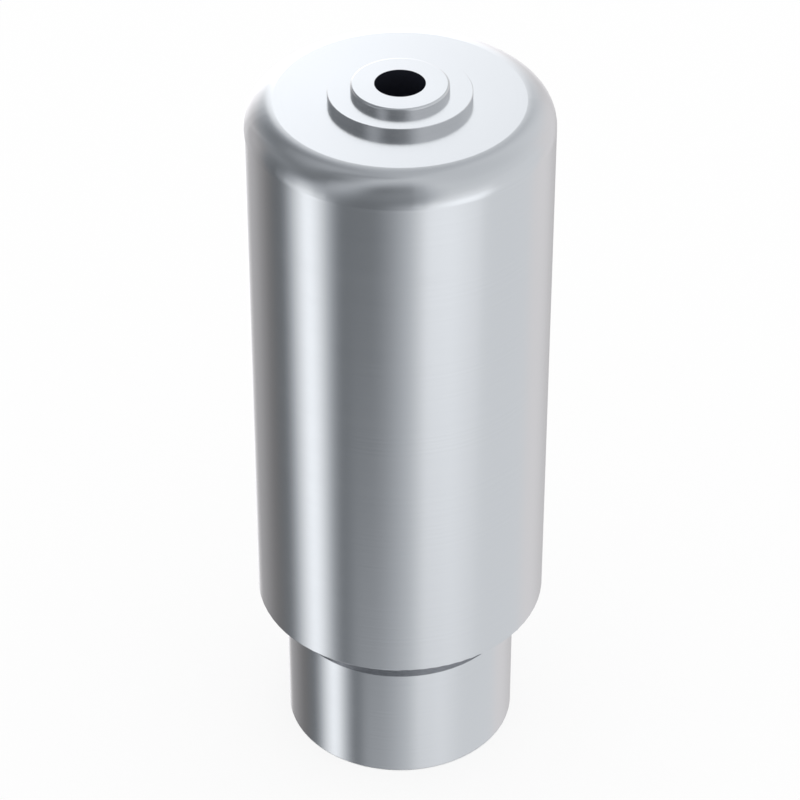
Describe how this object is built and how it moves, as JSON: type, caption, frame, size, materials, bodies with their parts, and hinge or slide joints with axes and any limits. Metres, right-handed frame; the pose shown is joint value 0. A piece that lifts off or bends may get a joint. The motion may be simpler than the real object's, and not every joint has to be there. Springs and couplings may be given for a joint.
{
  "type": "dental abutment blank",
  "caption": "Turned titanium abutment blank: a plain cylinder with a rounded crown edge, low round seating steps, a stepped screw channel and a thinner clamping shank.",
  "frame": {"origin": "centre of the shank's flat end face, which the blank stands on", "axes": "+Z along the turning axis, from the shank to the platform that meets the implant; X and Y are any two square directions"},
  "size_m": [0.01, 0.01, 0.0259],
  "materials": {
    "titanium": "bare titanium alloy, finely turned to a bright satin"
  },
  "bodies": {
    "root": {"abutment_blank": "titanium"}
  },
  "joints": []
}
